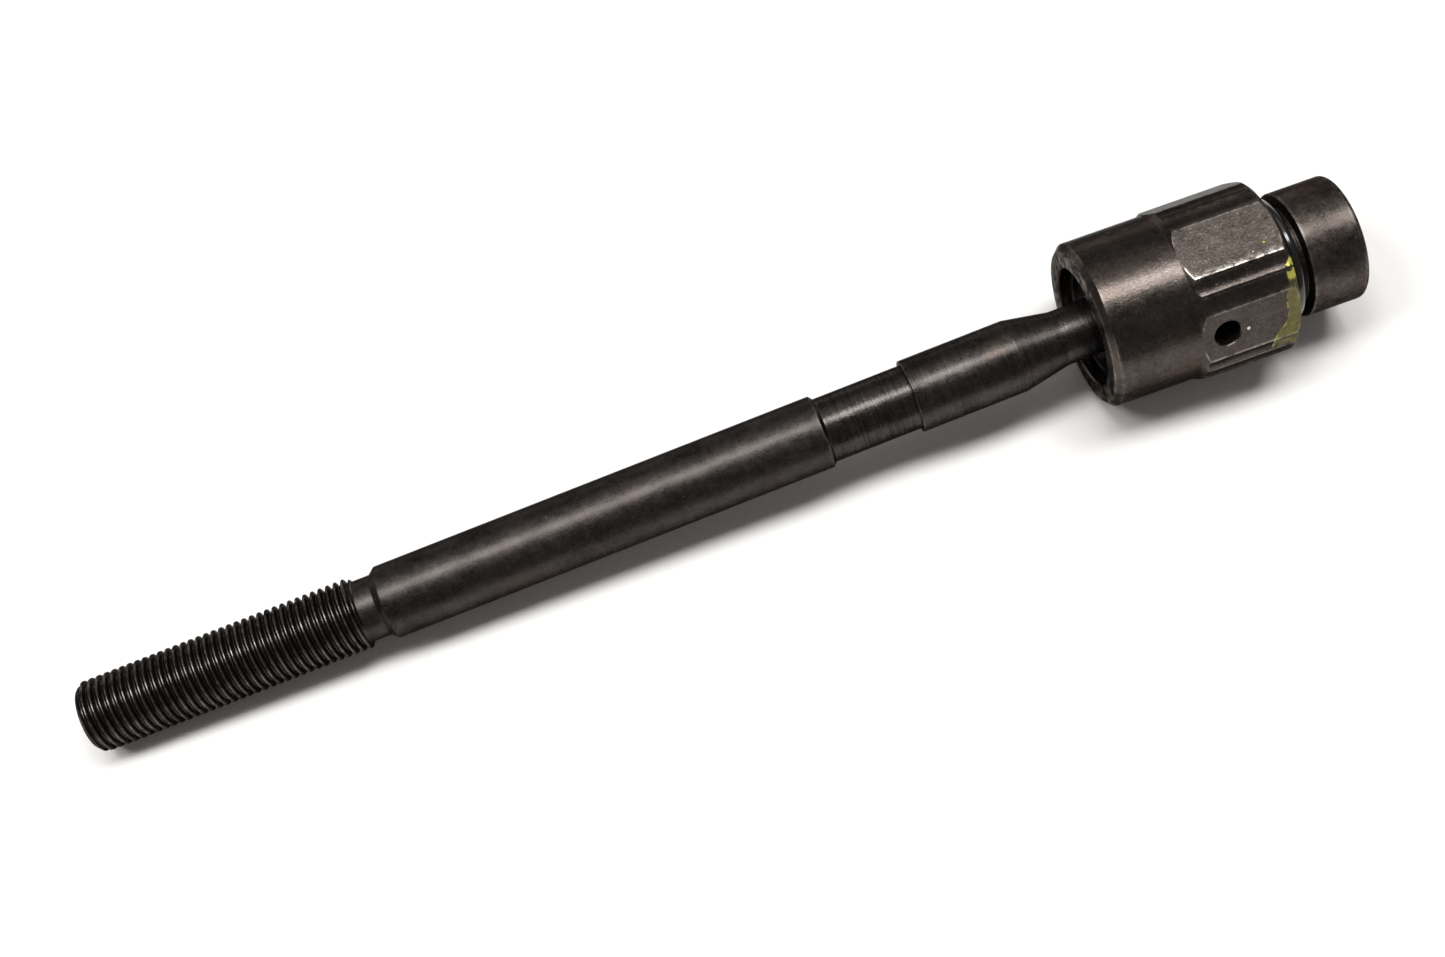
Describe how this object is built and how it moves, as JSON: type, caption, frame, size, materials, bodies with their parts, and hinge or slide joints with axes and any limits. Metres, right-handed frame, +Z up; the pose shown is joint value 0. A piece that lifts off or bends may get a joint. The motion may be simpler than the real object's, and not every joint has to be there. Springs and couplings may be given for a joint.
{
  "type": "tie rod socket",
  "caption": "Inner tie rod: a threaded steel rod whose ball turns in an axial socket with a hex collar, a round plug and a seal ring.",
  "frame": {"origin": "middle of the footprint on the table, under the middle of the part's length; the socket lies on one flat of its hex and the rod on its thread", "axes": "+X along the socket's axis from the rod's threaded end towards the plug, +Z up, +Y away from the side with the small hole"},
  "size_m": [0.2482, 0.0336, 0.032],
  "materials": {
    "rod_steel": "blackened and lightly oiled, soft highlights",
    "housing_steel": "brown-black phosphate, satin",
    "plug_steel": "brown-black phosphate, satin, with handling marks",
    "ring_steel": "blackened, satin",
    "spring_steel": "bright spring steel",
    "bearing_polymer": "moulded bearing plastic, matte",
    "seal_rubber": "smooth black rubber"
  },
  "bodies": {
    "socket": {"socket_housing": "housing_steel", "closing_ring": "ring_steel", "preload_spring": "spring_steel", "end_plug": "plug_steel", "seal_ring": "seal_rubber"},
    "ball_seats": {"front_ball_seat": "bearing_polymer", "rear_ball_seat": "bearing_polymer"},
    "rod": {"tie_rod": "rod_steel"}
  },
  "joints": [
    {"name": "socket_swivel", "type": "hinge", "parent": "socket", "child": "ball_seats", "pos_m": [0.08327, 0, 0.016], "axis": [1, 0, 0], "continuous": true},
    {"name": "rod_swing", "type": "hinge", "parent": "ball_seats", "child": "rod", "pos_m": [0.08327, 0, 0.016], "axis": [0, 0.9212, -0.3891], "range_deg": [-17.25, 22.75]}
  ]
}
